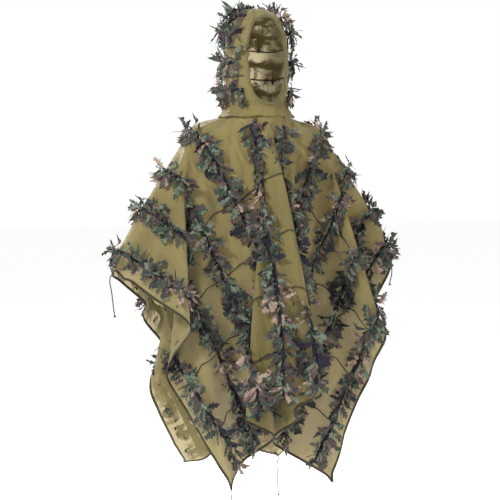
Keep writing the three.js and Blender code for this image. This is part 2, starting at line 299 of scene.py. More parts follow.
def leaf_material():
    """Cloth leaves cut from a printed camouflage cloth: large soft-edged patches of five shades."""
    shader = Shader("garland_leaves", 0.85, sheen=0.1)
    place = shader.coordinates("Object")
    tone = shader.add("ShaderNodeAttribute", attribute_name="tone").outputs["Fac"]
    print_patch = shader.noise(place, 30.0, 2.5, 0.55)
    value = shader.maths("ADD", shader.maths("MULTIPLY", print_patch, 0.62), shader.maths("MULTIPLY", tone, 0.6))
    shades = shader.ramp(value, [
        (0.0, (0.014, 0.013, 0.022)), (0.36, (0.042, 0.058, 0.045)), (0.44, (0.085, 0.050, 0.052)),
        (0.51, (0.036, 0.058, 0.042)), (0.58, (0.13, 0.165, 0.115)), (0.65, (0.105, 0.066, 0.06)),
        (0.71, (0.036, 0.046, 0.042)), (0.79, (0.125, 0.085, 0.075)), (0.86, (0.32, 0.235, 0.18))],
        constant=True)
    fibres = shader.noise(place, 700.0, 2.0)
    shader.bump(fibres, 0.3, 0.0008)
    shader.join(shades, shader.surface.inputs["Base Color"])
    shader.let_light_through(shades, 0.12)
    return shader.material


def braid_material(name, shade, scale):
    shader = Shader(name, 0.7, sheen=0.15)
    flat = shader.coordinates("UV")
    strands = shader.add("ShaderNodeTexWave", Scale=scale, Distortion=1.2)
    strands.bands_direction = "DIAGONAL"
    shader.join(flat, strands.inputs["Vector"])
    dark = [channel * 0.55 for channel in shade]
    shader.join(shader.ramp(strands.outputs["Fac"], [(0.2, dark), (0.8, shade)]), shader.surface.inputs["Base Color"])
    shader.bump(strands.outputs["Fac"], 0.5, 0.0008)
    return shader.material


_materials = {}


def material(kind):
    """Each finish is made once."""
    if kind not in _materials:
        shades = settings("poncho_colours")
        _materials[kind] = {
            "cloth": cloth_material,
            "leaves": leaf_material,
            "binding": lambda: braid_material("edge_binding", tuple(shades.binding), 140.0),
            "cord": lambda: braid_material("cord", tuple(shades.cord), 260.0),
        }[kind]()
    return _materials[kind]


# ---- The draped cape -----------------------------------------------------------------------------------
COLLAR_LOW, COLLAR_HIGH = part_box("collar_band")
NECK_HALF = (COLLAR_HIGH[0], COLLAR_HIGH[1])
CAPE_TOP = COLLAR_LOW[2] - 0.0003
SHOULDER_REACH, CHEST_REACH, SQUARENESS = 0.2, 0.138, 3.2
NECK_SLOPE, BODY_SLOPE, CORNER_FLARE = 17.0, 86.5, 2.5
SHOULDER_ROUND = 0.11
TAKE_UP = {"right": 0.05, "left": 0.15, "body": 0.03}
LEAF_LIMIT = (0.484, 0.2505)
HELD_EDGE = (-1.0, -0.0980, 0.0, 0.0980, 1.0)   # places held along each side edge
FRONT_GATHER, BACK_GATHER = 0.90, 0.93    # cloth taken up by the gathers at the neck seam
LIMIT = np.array([0.446, 0.232])          # how far the cloth hangs out from the neck, each way


def start_drape(u, v, fold_depth):
    """Where the flat point (u, v) lies before it settles: out on the shoulders, round them, and down."""
    sizes = settings("poncho_cape")
    angle = np.arctan2(v, u)
    c, s = np.cos(angle), np.sin(angle)
    start = 1 / np.hypot(c / NECK_HALF[0], s / NECK_HALF[1])
    right = c < 0
    body_share = smooth(np.abs(s), 0.04, 0.66)
    arm_slope = np.where(right, sizes.arm_slope_right, sizes.arm_slope_left)
    slope = np.radians(mix(arm_slope, BODY_SLOPE, body_share) - CORNER_FLARE * np.sin(2 * angle) ** 2)
    taken = mix(np.where(right, TAKE_UP["right"], TAKE_UP["left"]), TAKE_UP["body"], body_share)
    run = np.maximum(np.hypot(u, v) - start, 0) * (1 - taken)
    shoulder = (np.abs(c / SHOULDER_REACH) ** SQUARENESS
                + np.abs(s / CHEST_REACH) ** SQUARENESS) ** (-1 / SQUARENESS)
    bend_start = np.maximum(shoulder - start - SHOULDER_ROUND / 2, 0)
    first = math.radians(NECK_SLOPE)
    out = start + np.minimum(run, bend_start) * math.cos(first)
    down = np.minimum(run, bend_start) * math.sin(first)
    bent = np.clip(run - bend_start, 0, SHOULDER_ROUND)
    steps = 16
    for i in range(steps):
        tilt = mix(first, slope, smooth((i + 0.5) * bent / steps, 0, SHOULDER_ROUND))
        out = out + bent / steps * np.cos(tilt)
        down = down + bent / steps * np.sin(tilt)
    hanging = np.maximum(run - bend_start - SHOULDER_ROUND, 0)
    out = out + hanging * np.cos(slope)
    down = down + hanging * np.sin(slope)
    waves = np.cos(13 * angle + 0.7) + 0.6 * np.cos(21 * angle + 2.1 + 1.5 * np.sin(2 * angle))
    out = out + fold_depth * smooth(hanging, 0.02, 0.5) * waves
    return np.stack([out * c, out * s, CAPE_TOP - down], -1)


def wearer():
    """A plain stand-in that the cloth settles on. It is deleted afterwards."""
    mesh = bmesh.new()

    def limb(a, b, radius_a, radius_b):
        a, b = Vector(a), Vector(b)
        for point, radius in ((a, radius_a), (b, radius_b)):
            ball = bmesh.ops.create_uvsphere(mesh, u_segments=20, v_segments=12, radius=radius)
            bmesh.ops.translate(mesh, verts=ball["verts"], vec=point)
        bone = b - a
        tube = bmesh.ops.create_cone(mesh, segments=20, radius1=radius_a, radius2=radius_b,
                                     depth=bone.length, cap_ends=False)
        turn = bone.to_track_quat("Z", "Y").to_matrix()
        bmesh.ops.rotate(mesh, verts=tube["verts"], matrix=turn, cent=(0, 0, 0))
        bmesh.ops.translate(mesh, verts=tube["verts"], vec=(a + b) / 2)

    limb((-0.15, 0, -0.115), (0.15, 0, -0.115), 0.062, 0.062)
    limb((0, 0, -0.06), (0, 0, 0.1), 0.075, 0.06)
    limb((-0.15, 0, -0.115), (-0.385, 0, -0.455), 0.055, 0.032)
    limb((0.15, 0, -0.115), (0.375, 0, -0.40), 0.055, 0.032)
    trunk = bmesh.ops.create_uvsphere(mesh, u_segments=32, v_segments=24, radius=1)
    bmesh.ops.scale(mesh, verts=trunk["verts"], vec=(0.17, 0.118, 0.42))
    bmesh.ops.translate(mesh, verts=trunk["verts"], vec=(0, 0, -0.42))
    bmesh.ops.recalc_face_normals(mesh, faces=mesh.faces)
    data = bpy.data.meshes.new("wearer")
    mesh.to_mesh(data)
    mesh.free()
    stand_in = bpy.data.objects.new("wearer", data)
    bpy.context.scene.collection.objects.link(stand_in)
    stand_in.modifiers.new("Collision", "COLLISION")
    stand_in.collision.thickness_outer = 0.008
    stand_in.collision.cloth_friction = 8
    return stand_in


def kept_within(points, limit, softness):
    """Eases points that stray outwards back inside a limit, without creasing them."""
    out = points.copy()
    for axis, (edge, soft) in enumerate(zip(limit, softness)):
        size = np.abs(out[:, axis])
        over = np.maximum(size - (edge - soft), 0)
        out[:, axis] = np.sign(out[:, axis]) * (np.minimum(size, edge - soft) + soft * np.tanh(over / soft))
    return out


class CapeSurface:
    """The flat cloth's grid and where it lies once it has settled."""

    def __init__(self):
        sizes = settings("poncho_cape")
        self.half = np.array([sizes.width / 2, sizes.length / 2])
        self.count = np.round(2 * self.half / sizes.weave_cell).astype(int)
        axes = [np.linspace(-h, h, n + 1) for h, n in zip(self.half, self.count)]
        self.flat = np.stack(np.meshgrid(*axes, indexing="ij"), -1)
        points = self.flat.reshape(-1, 2)
        outside = np.hypot(points[:, 0] / NECK_HALF[0], points[:, 1] / NECK_HALF[1]) >= 0.93
        rows = self.count[1] + 1
        self.faces, rim = [], set()
        for i in range(self.count[0]):
            for j in range(self.count[1]):
                quad = [i * rows + j, (i + 1) * rows + j, (i + 1) * rows + j + 1, i * rows + j + 1]
                if outside[quad].all():
                    self.faces.append(quad)
                else:
                    rim.update(k for k in quad if outside[k])
        self.used = sorted({k for face in self.faces for k in face})
        place = {k: n for n, k in enumerate(self.used)}
        self.faces = [[place[k] for k in face] for face in self.faces]
        self.rim = [place[k] for k in rim if k in place]
        self.cut = points[self.used].copy()
        for k in self.rim:
            self.cut[k] /= np.hypot(self.cut[k, 0] / NECK_HALF[0], self.cut[k, 1] / NECK_HALF[1])
        self.corners = []
        for side in (-1, 1):
            for place in HELD_EDGE:
                away = np.hypot(self.cut[:, 0] - side * self.half[0], self.cut[:, 1] - place * self.half[1])
                self.corners += np.nonzero(away < sizes.weave_cell * 0.6)[0].tolist()

    def settle(self):
        """The cloth starts flat at the neck. Its held points move down to the hands and the corners, the
        rest falls over the wearer and gathers into folds of its own."""
        sizes = settings("poncho_cape")
        distance = np.hypot(*self.cut.T)
        sine = self.cut[:, 1] / distance
        hole = 1 / np.hypot(self.cut[:, 0] / distance / NECK_HALF[0], sine / NECK_HALF[1])
        gather = mix(0.945, np.where(sine < 0, FRONT_GATHER, BACK_GATHER), sine ** 2)
        spread = hole + (distance - hole) * gather
        flat = np.column_stack([self.cut * (spread / distance)[:, None], CAPE_TOP - 0.3 * (spread - hole)])
        sheet = new_piece("cape_cloth", flat, self.faces, material("cloth"), self.cut)
        sheet.shape_key_add(name="Basis")
        worn = sheet.shape_key_add(name="worn")
        hung = start_drape(self.cut[:, 0], self.cut[:, 1], 0)
        worn.data.foreach_set("co", hung.ravel())
        lower = int(sizes.drop_frames * 0.45)
        worn.value = 0.0
        worn.keyframe_insert("value", frame=1)
        worn.value = 1.0
        worn.keyframe_insert("value", frame=lower)
        held = sheet.vertex_groups.new(name="held")
        held.add(self.rim, 1.0, "REPLACE")
        held.add(self.corners, 1.0, "REPLACE")
        frames = sizes.drop_frames
        stand_in = wearer()
        cloth = sheet.modifiers.new("Cloth", "CLOTH")
        fabric = cloth.settings
        fabric.quality, fabric.mass, fabric.air_damping = 8, 0.03, 1.5
        fabric.tension_stiffness = fabric.compression_stiffness = 40
        fabric.shear_stiffness = 1
        fabric.bending_model, fabric.bending_stiffness = "ANGULAR", 0.3
        fabric.vertex_group_mass = "held"
        cloth.collision_settings.distance_min = 0.006
        cloth.collision_settings.collision_quality = 2
        cloth.collision_settings.use_self_collision = True
        cloth.collision_settings.self_distance_min = 0.006
        cloth.point_cache.frame_end = frames
        for number in range(1, frames + 1):
            bpy.context.scene.frame_set(number)
        graph = bpy.context.evaluated_depsgraph_get()
        lain = np.empty(3 * len(self.used))
        sheet.evaluated_get(graph).data.vertices.foreach_get("co", lain)
        lain = lain.reshape(-1, 3)
        bpy.data.objects.remove(stand_in)
        bpy.data.objects.remove(sheet)
        hung = start_drape(self.cut[:, 0], self.cut[:, 1], 0)
        lain = self.eased(kept_within(lain, LIMIT, np.array([0.03, 0.05])))
        lain[self.corners] = hung[self.corners]
        return lain

    def eased(self, lain):
        """Takes the sawtooth out of the tight folds."""
        quads = np.array(self.faces)
        pairs = np.concatenate([np.stack([quads[:, k], quads[:, (k + 1) % 4]], -1) for k in range(4)])
        pairs = np.concatenate([pairs, pairs[:, ::-1]])
        ties = np.bincount(pairs[:, 0], minlength=len(lain))[:, None]
        fixed = np.isin(np.arange(len(lain)), self.rim)[:, None]
        for _ in range(3):
            total = np.stack([np.bincount(pairs[:, 0], lain[pairs[:, 1], k], len(lain)) for k in range(3)], -1)
            lain = np.where(fixed, lain, mix(lain, total / ties, 0.5))
        return lain

    def follow(self, places, points):
        """Reads the finer cloth, so that what is sewn on lies on it."""
        self.count = self.count * 2
        axes = [np.linspace(-h, h, n + 1) for h, n in zip(self.half, self.count)]
        self.flat = np.stack(np.meshgrid(*axes, indexing="ij"), -1)
        index = np.round((places + self.half) / (2 * self.half) * self.count).astype(int)
        index = np.clip(index, 0, self.count)
        self.grid = np.full((*self.flat.shape[:2], 3), np.nan)
        self.grid[index[:, 0], index[:, 1]] = points
        hole = np.isnan(self.grid[..., 0])
        flat = self.flat[hole]
        self.grid[hole] = start_drape(flat[:, 0], flat[:, 1], 0)
        self.normals = unit(np.cross(np.gradient(self.grid, axis=0), np.gradient(self.grid, axis=1)))

    def at(self, u, v, lift=0.0):
        """The place and the outward normal of flat points, lifted off the cloth."""
        flat = np.stack(np.broadcast_arrays(u, v), -1)
        spot = (flat + self.half) / (2 * self.half) * self.count
        spot = np.clip(spot, 0, self.count - 1e-6)
        low = np.floor(spot).astype(int)
        share = spot - low
        point = normal = 0
        for di in (0, 1):
            for dj in (0, 1):
                weight = (np.where(di, share[..., 0], 1 - share[..., 0])
                          * np.where(dj, share[..., 1], 1 - share[..., 1]))[..., None]
                point = point + weight * self.grid[low[..., 0] + di, low[..., 1] + dj]
                normal = normal + weight * self.normals[low[..., 0] + di, low[..., 1] + dj]
        normal = unit(normal)
        return point + normal * lift, normal


surfaces = {}


class PONCHO_OT_cape(bpy.types.Operator):
    """Drape the cape's cloth over a wearer's shoulders and arms"""
    bl_idname = "poncho.cape"
    bl_label = "Cape"

    def execute(self, context):
        sizes = settings("poncho_cape")
        surface = CapeSurface()
        lain = surface.settle()
        surfaces["cape"] = surface
        cape = new_piece("cape_cloth", lain, surface.faces, material("cloth"), surface.cut)
        finer = cape.modifiers.new("Subdivision", "SUBSURF")
        finer.levels = finer.render_levels = 1
        finer.boundary_smooth = "PRESERVE_CORNERS"
        applied(cape)
        self.gather_at_neck(cape)
        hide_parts("front_right_panel", "front_left_panel", "back_right_panel", "back_left_panel")
        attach(cape, CAPE)
        return {"FINISHED"}

    def gather_at_neck(self, cape):
        """Pleats run down from the neck seam and die out towards the hem."""
        mesh = cape.data
        points = np.empty(3 * len(mesh.vertices), dtype=np.float32)
        normals = np.empty_like(points)
        mesh.vertices.foreach_get("co", points)
        mesh.vertices.foreach_get("normal", normals)
        points, normals = points.reshape(-1, 3), normals.reshape(-1, 3)
        angle = np.arctan2(points[:, 1], points[:, 0])
        hole = 1 / np.hypot(np.cos(angle) / NECK_HALF[0], np.sin(angle) / NECK_HALF[1])
        below = np.maximum(CAPE_TOP - points[:, 2], 0) + np.maximum(np.hypot(*points[:, :2].T) - hole, 0)
        wander = 0.5 * np.sin(4 * angle + 5 * points[:, 2]) + 0.3 * np.sin(9 * points[:, 2] + 7 * angle)
        crease = (1 - np.abs(np.sin(9 * angle + wander))) ** 2 * (0.65 + 0.35 * np.sin(5 * angle + 1))
        roll = np.sin(17 * angle + 1.3 * np.sin(4 * angle) + 3 * points[:, 2])
        depth = smooth(below, 0.004, 0.05) * (0.25 + 0.75 * np.exp(-below / 0.35))
        points = points + normals * (depth * (0.005 * roll - 0.019 * crease))[:, None]
        mesh.vertices.foreach_set("co", points.ravel())
        mesh.update()
        loops = np.empty(len(mesh.loops), dtype=np.int32)
        mesh.loops.foreach_get("vertex_index", loops)
        flat = np.empty(2 * len(mesh.loops), dtype=np.float32)
        mesh.uv_layers["Flat"].data.foreach_get("uv", flat)
        places = np.empty((len(points), 2))
        places[loops] = flat.reshape(-1, 2)
        surfaces["cape"].follow(places, points)


# ---- Edge bindings ---------------------------------------------------------------------------------------
class PONCHO_OT_bindings(bpy.types.Operator):
    """Bind the cape's four edges with folded tape"""
    bl_idname = "poncho.bindings"
    bl_label = "Edge bindings"

    def execute(self, context):
        surface = surfaces["cape"]
        half_u, half_v = surface.half
        width = settings("poncho_trim").binding_width
        tape = [(width * x, width * y) for x, y in
                ((-0.5, 0.0), (-0.42, 0.16), (0.3, 0.16), (0.5, 0.0), (0.3, -0.16), (-0.42, -0.16))]
        edges = {
            "right_side_binding": (lambda t: (-half_u + 0 * t, half_v * t), surface.count[1] * 2),
            "left_side_binding": (lambda t: (half_u + 0 * t, -half_v * t), surface.count[1] * 2),
            "front_hem_binding": (lambda t: (-half_u * t, -half_v + 0 * t), surface.count[0] * 2),
            "back_hem_binding": (lambda t: (half_u * t, half_v + 0 * t), surface.count[0] * 2),
        }
        for name, (place, count) in edges.items():
            u, v = place(np.linspace(-1, 1, count + 1))
            line, normals = surface.at(u, v)
            points, faces, uv = sweep(line, normals, tape)
            piece = new_piece(name + "_tape", points, faces, material("binding"), uv)
            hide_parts(name)
            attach(piece, CAPE)
        return {"FINISHED"}


# ---- Collar band ------------------------------------------------------------------------------------------
class PONCHO_OT_collar(bpy.types.Operator):
    """Make the soft band between the hood and the cape"""
    bl_idname = "poncho.collar"
    bl_label = "Collar band"

    def execute(self, context):
        turns, rows = 160, 10
        turn = np.linspace(0, 2 * math.pi, turns, endpoint=False)
        level = np.linspace(0, 1, rows + 1)
        points, uv = [], []
        for share in level:
            bulge = 0.003 * math.sin(math.pi * share) + 0.0012 * math.sin(5 * math.pi * share)
            ripple = 0.0016 * np.sin(23 * turn + 2 * np.sin(3 * turn)) * share
            bulge = bulge + (0.005 + 0.017 * np.cos(turn) ** 2) * share ** 2.2
            half = np.stack([NECK_HALF[0] + bulge + ripple, NECK_HALF[1] + bulge + ripple])
            z = mix(COLLAR_HIGH[2] + 0.002, COLLAR_LOW[2] - 0.003, share) + 0.0015 * np.sin(9 * turn)
            points.append(np.stack([half[0] * np.cos(turn), half[1] * np.sin(turn), z], -1))
            uv.append(np.stack([turn * 0.1, np.full(turns, share * 0.03)], -1))
        faces = [(r * turns + i, (r + 1) * turns + i, (r + 1) * turns + (i + 1) % turns, r * turns + (i + 1) % turns)
                 for r in range(rows) for i in range(turns)]
        collar = new_piece("collar_band_cloth", np.concatenate(points), faces, material("cloth"), np.concatenate(uv))
        thick = collar.modifiers.new("Thickness", "SOLIDIFY")
        thick.thickness, thick.offset = 0.0016, -1
        applied(collar)
        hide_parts("collar_band")
        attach(collar, CAPE)
        return {"FINISHED"}


# ---- Hood ---------------------------------------------------------------------------------------------------
HOOD_LOW, HOOD_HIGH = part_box("hood_left_side")
CASING_LOW, CASING_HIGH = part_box("face_opening_casing")
HOOD_HEIGHT = 0.290
HOOD_HALF = (0.094, 0.116)
CASING_RADIUS = 0.0045
FACE_LOW, FACE_HIGH = CASING_LOW[2] + CASING_RADIUS, CASING_HIGH[2] - CASING_RADIUS
FACE_HALF = CASING_HIGH[0] - CASING_RADIUS
FACE_SQUARENESS = 2.4


def dome_share(z):
    height = np.clip(z / HOOD_HEIGHT, 0, 0.9999)
    return (1 - height ** 5) ** 0.385 * mix(0.94, 1.0, smooth(z, 0, HOOD_HEIGHT / 3))


def hood_point(turn, z, lift=0.0):
    """A place on the hood: turn is measured round from the middle of the face."""
    turn, z = np.broadcast_arrays(np.asarray(turn, float), np.asarray(z, float))

    def bare(turn, z):
        share = dome_share(z)
        nape = 0.012 * smooth(z, 0.1, 0.0) * np.clip(-np.cos(turn), 0, 1)
        return np.stack([HOOD_HALF[0] * share * np.sin(turn),
                         -(HOOD_HALF[1] * share + 0 * nape) * np.cos(turn), z], -1)

    step = 0.002
    point = bare(turn, z)
    low, high = np.maximum(z - step, 0), np.minimum(z + step, HOOD_HEIGHT * 0.999)
    normal = unit(np.cross(bare(turn + 0.01, z) - bare(turn - 0.01, z), bare(turn, high) - bare(turn, low)))
    rumple = 0.0016 * np.sin(34 * z / 0.29 + 2.2 * np.sin(2 * turn)) + 0.0014 * np.sin(9 * turn + 30 * z)
    gathers = 0.0015 * np.sin(46 * turn) * smooth(z, 0.05, 0.0)
    return point + normal * (lift + rumple + gathers)[..., None], normal


def face_edge(z, margin=0.0):
    """How far round the face opening reaches at a height."""
    middle, half = (FACE_LOW + FACE_HIGH) / 2, (FACE_HIGH - FACE_LOW) / 2 + margin
    height = np.abs(np.clip((z - middle) / half, -1, 1))
    reach = (FACE_HALF + margin) * (1 - height ** FACE_SQUARENESS) ** (1 / FACE_SQUARENESS)
    return np.arcsin(np.clip(reach / (HOOD_HALF[0] * dome_share(z)), 0, 0.98))


def hood_moves(piece):
    """Bakes the piece's transform into its mesh."""
    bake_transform(piece)


class PONCHO_OT_hood(bpy.types.Operator):
    """Make the hood and the casing round its face opening"""
    bl_idname = "poncho.hood"
    bl_label = "Hood"

    def execute(self, context):
        columns = 64
        middle, half = (FACE_LOW + FACE_HIGH) / 2, (FACE_HIGH - FACE_LOW) / 2
        opening = middle - half * np.cos(np.linspace(0, math.pi, 48))
        levels = np.concatenate([np.linspace(-0.002, FACE_LOW, 3), opening[1:],
                                 FACE_HIGH + (HOOD_HEIGHT - FACE_HIGH) * np.sin(np.linspace(0, math.pi / 2, 12))[1:]])
        for side, name in ((1, "left"), (-1, "right")):
            points, uv = [], []
            for z in levels:
                front = face_edge(z, 0.001)
                turn = side * np.linspace(front, math.pi, columns + 1)
                points.append(hood_point(turn, np.full(columns + 1, z))[0])
                uv.append(np.stack([turn * 0.1, np.full(columns + 1, z)], -1))
            faces = []
            for r in range(len(levels) - 1):
                for c in range(columns):
                    a, b = r * (columns + 1) + c, (r + 1) * (columns + 1) + c
                    faces.append((a, a + 1, b + 1, b) if side > 0 else (a, b, b + 1, a + 1))
            shell = new_piece(f"hood_{name}_cloth", np.concatenate(points), faces, material("cloth"),
                              np.concatenate(uv))
            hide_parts(f"hood_{name}_side")
            hood_moves(shell)
        turn = np.linspace(0, 2 * math.pi, 120, endpoint=False)
        z = middle + half * np.cos(turn) * 0.9995
        around = np.sign(np.sin(turn)) * face_edge(z)
        line, normals = hood_point(around, z)
        radius = CASING_RADIUS * (1 + 0.1 * np.sin(37 * turn))
        points, faces, uv = sweep(line, normals, round_section(CASING_RADIUS, 10, 0.7), closed=True)
        centre = np.repeat(line, 10, axis=0)
        points = centre + (points - centre) * np.repeat(radius / CASING_RADIUS, 10)[:, None]
        casing = new_piece("face_opening_casing_cloth", points, faces, material("cloth"), uv)
        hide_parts("face_opening_casing")
        hood_moves(casing)
        return {"FINISHED"}


# ---- Leaf garlands --------------------------------------------------------------------------------------------
LEAF_OUTLINES = (
    (0.05, 0.22, 0.09, 0.32, 0.10, 0.31, 0.10, 0.24, 0.07, 0.12, 0.0),
    (0.05, 0.17, 0.34, 0.16, 0.40, 0.16, 0.33, 0.13, 0.22, 0.08, 0.0),
    (0.05, 0.13, 0.20, 0.23, 0.20, 0.13, 0.06, 0.0),
    (0.04, 0.10, 0.14, 0.31, 0.11, 0.15, 0.31, 0.11, 0.20, 0.07, 0.0),
    (0.04, 0.09, 0.11, 0.11, 0.09, 0.06, 0.0),
    (0.06, 0.16, 0.08, 0.25, 0.09, 0.24, 0.07, 0.13, 0.0),
    (0.04, 0.12, 0.24, 0.12, 0.36, 0.15, 0.30, 0.10, 0.0),
    (0.06, 0.20, 0.31, 0.18, 0.35, 0.30, 0.12, 0.0),
)
LEAF_CURLS = (-0.40, -0.15, 0.35, -0.55, 0.45, -0.30, -0.60, 0.15)


def leaf_shapes():
    """A few cut leaf shapes, one unit long along +Y, curling away from +Z."""
    group = bpy.data.collections.new("leaf_shapes")
    for number, (widths, bend) in enumerate(zip(LEAF_OUTLINES, LEAF_CURLS)):
        steps = len(widths) - 1
        points, faces = [], []
        for k, half in enumerate(widths):
            y = k / steps
            lobe = 0.11 if half > 0.15 else 0.0
            curl = bend * y * y + 0.07 * math.sin(6 * y + number)
            points += [(-half, y + lobe, curl - 0.35 * half), (0, y, curl), (half, y + lobe, curl - 0.25 * half)]
        for k in range(steps):
            a, b = 3 * k, 3 * k + 3
            faces += [(a, a + 1, b + 1, b), (a + 1, a + 2, b + 2, b + 1)]
        mesh = bpy.data.meshes.new(f"leaf_{number}")
        mesh.from_pydata(points, [], faces)
        mesh.update()
        group.objects.link(bpy.data.objects.new(f"leaf_{number}", mesh))
    return group


def leaf_tree():
    """Geometry nodes that put a cut leaf on each point. The points carry spin, size and tone."""
    tree = bpy.data.node_groups.new("garland_leaves", "GeometryNodeTree")
    face = tree.interface
    face.new_socket("Geometry", in_out="INPUT", socket_type="NodeSocketGeometry")
    face.new_socket("Leaf length", in_out="INPUT", socket_type="NodeSocketFloat")
    face.new_socket("Leaf shapes", in_out="INPUT", socket_type="NodeSocketCollection")
    face.new_socket("Material", in_out="INPUT", socket_type="NodeSocketMaterial")
    face.new_socket("Seed", in_out="INPUT", socket_type="NodeSocketInt")
    face.new_socket("Geometry", in_out="OUTPUT", socket_type="NodeSocketGeometry")
    add, link = tree.nodes.new, tree.links.new
    given, result = add("NodeGroupInput"), add("NodeGroupOutput")
    shapes = add("GeometryNodeCollectionInfo")
    shapes.inputs["Separate Children"].default_value = True
    link(given.outputs["Leaf shapes"], shapes.inputs["Collection"])
    spin = add("GeometryNodeInputNamedAttribute")
    spin.data_type = "FLOAT_VECTOR"
    spin.inputs["Name"].default_value = "spin"
    size = add("GeometryNodeInputNamedAttribute")
    size.data_type = "FLOAT_VECTOR"
    size.inputs["Name"].default_value = "size"
    pick = add("FunctionNodeRandomValue")
    pick.data_type = "INT"
    pick.inputs["Min"].default_value = 0
    pick.inputs["Max"].default_value = len(LEAF_OUTLINES) - 1
    link(given.outputs["Seed"], pick.inputs["Seed"])
    scale = add("ShaderNodeVectorMath")
    scale.operation = "SCALE"
    link(size.outputs["Attribute"], scale.inputs[0])
    link(given.outputs["Leaf length"], scale.inputs["Scale"])
    turn = add("FunctionNodeEulerToRotation")
    link(spin.outputs["Attribute"], turn.inputs[0])
    put = add("GeometryNodeInstanceOnPoints")
    put.inputs["Pick Instance"].default_value = True
    link(given.outputs["Geometry"], put.inputs["Points"])
    link(shapes.outputs["Instances"], put.inputs["Instance"])
    integers = [o for o in pick.outputs if o.type == "INT"]
    link(integers[0], put.inputs["Instance Index"])
    link(turn.outputs[0], put.inputs["Rotation"])
    link(scale.outputs[0], put.inputs["Scale"])
    real = add("GeometryNodeRealizeInstances")
    link(put.outputs["Instances"], real.inputs["Geometry"])
    dye = add("GeometryNodeSetMaterial")
    link(real.outputs["Geometry"], dye.inputs["Geometry"])
    link(given.outputs["Material"], dye.inputs["Material"])
    link(dye.outputs["Geometry"], result.inputs["Geometry"])
    return tree


_leaf_parts = {}


def leaves_on(name, places, aims, facings, sizes, tones, seed):
    """A mesh of leaves: each starts at a place, runs along its aim and faces its facing."""
    if not _leaf_parts:
        _leaf_parts.update(tree=leaf_tree(), shapes=leaf_shapes())
    aims = unit(aims)
    facings = unit(facings - aims * (facings * aims).sum(-1, keepdims=True))
    across = np.cross(aims, facings)
    spins = [Matrix(np.stack([x, y, z], -1).tolist()).to_euler() for x, y, z in zip(across, aims, facings)]
    mesh = bpy.data.meshes.new(name)
    mesh.from_pydata(places.tolist(), [], [])
    mesh.attributes.new("spin", "FLOAT_VECTOR", "POINT").data.foreach_set("vector", np.array(spins).ravel())
    mesh.attributes.new("size", "FLOAT_VECTOR", "POINT").data.foreach_set("vector", np.ravel(sizes))
    mesh.attributes.new("tone", "FLOAT", "POINT").data.foreach_set("value", np.asarray(tones, float))
    points = bpy.data.objects.new(name, mesh)
    bpy.context.scene.collection.objects.link(points)
    maker = points.modifiers.new("Leaves", "NODES")
    maker.node_group = _leaf_parts["tree"]
    sockets = {item.name: item.identifier for item in maker.node_group.interface.items_tree
               if item.in_out == "INPUT"}
    maker[sockets["Leaf length"]] = settings("poncho_garland").leaf_length
    maker[sockets["Leaf shapes"]] = _leaf_parts["shapes"]
    maker[sockets["Material"]] = material("leaves")
    maker[sockets["Seed"]] = seed
    applied(points)
    points.data.materials.clear()
    points.data.materials.append(material("leaves"))
    points.data.polygons.foreach_set("material_index", [0] * len(points.data.polygons))
    tips = np.empty(3 * len(points.data.vertices), dtype=np.float32)
    points.data.vertices.foreach_get("co", tips)
    tips = kept_within(tips.reshape(-1, 3), LEAF_LIMIT, (0.02, 0.02))
    points.data.vertices.foreach_set("co", tips.ravel())
    return points


def camouflage_tone(places):
    """The print changes slowly along a row, so neighbouring leaves share a shade."""
    x, y, z = places.T * 9.0
    wave = np.sin(1.7 * x + 2.3 * z) + np.sin(2.9 * z - 1.3 * y + 1.0) + np.sin(2.1 * x - 1.9 * z + 4.0)
    return np.clip(0.5 + wave / 6 + rng.normal(0, 0.2, len(places)), 0, 1)


def leaf_row(line, normals):
    """Roots, aims, facings and sizes of the leaves along one strip."""
    reach = np.concatenate([[0], np.cumsum(np.linalg.norm(np.diff(line, axis=0), axis=1))])
    count = max(int(reach[-1] / settings("poncho_garland").leaf_step), 8)
    spots = np.sort(rng.uniform(0, reach[-1], count))
    centre = np.stack([np.interp(spots, reach, line[:, k]) for k in range(3)], -1)
    facing = unit(np.stack([np.interp(spots, reach, normals[:, k]) for k in range(3)], -1))
    along = unit(np.stack([np.interp(spots, reach, np.gradient(line[:, k])) for k in range(3)], -1))
    across = np.cross(along, facing)
    side = np.where(rng.random(count) < 0.5, -1.0, 1.0)

    def spread(values):
        return values[:, None]

    down = np.array([0.0, 0.0, -1.0]) - facing * -facing[:, 2:]
    aims = (across * spread(side * rng.uniform(0.3, 1.1, count)) + down * spread(rng.uniform(0.2, 1.1, count))
            + facing * spread(rng.uniform(0.02, 0.5, count)) + along * spread(rng.normal(0, 0.35, count)))
    facings = facing + across * spread(rng.normal(0, 0.55, count)) + along * spread(rng.normal(0, 0.4, count))
    roots = (centre + across * spread(side * rng.uniform(0.0, 0.010, count))
             + facing * spread(rng.uniform(0.001, 0.012, count)))
    long = rng.uniform(0.6, 1.2, count)
    sizes = np.stack([long * rng.uniform(0.5, 1.05, count), long, long * rng.uniform(0.5, 1.2, count)], -1)
    return roots, aims, facings, sizes


def garland(name, rows, move, seed, extra=None):
    """Gathered strips, with cut leaves that stand and hang from both their edges."""
    leaf_rows = [np.concatenate(parts) for parts in zip(*(leaf_row(*row) for row in rows))]
    roots, aims, facings, sizes = leaf_rows
    leaves = leaves_on(name + "_leaves", roots, aims, facings, sizes, camouflage_tone(roots), seed)
    band = [(-0.007, 0.0), (-0.004, 0.0022), (0.004, 0.0022), (0.007, 0.0)]
    for line, normals in rows:
        wobble = 0.0016 * np.sin(np.arange(len(line)) * 1.7)
        points, faces, uv = sweep(line + normals * wobble[:, None], normals, band)
        join_into(leaves, new_piece(name + "_strip", points, faces, material("leaves"), uv))
    if extra is not None:
        join_into(leaves, extra)
    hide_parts(name)
    move(leaves)
    return leaves


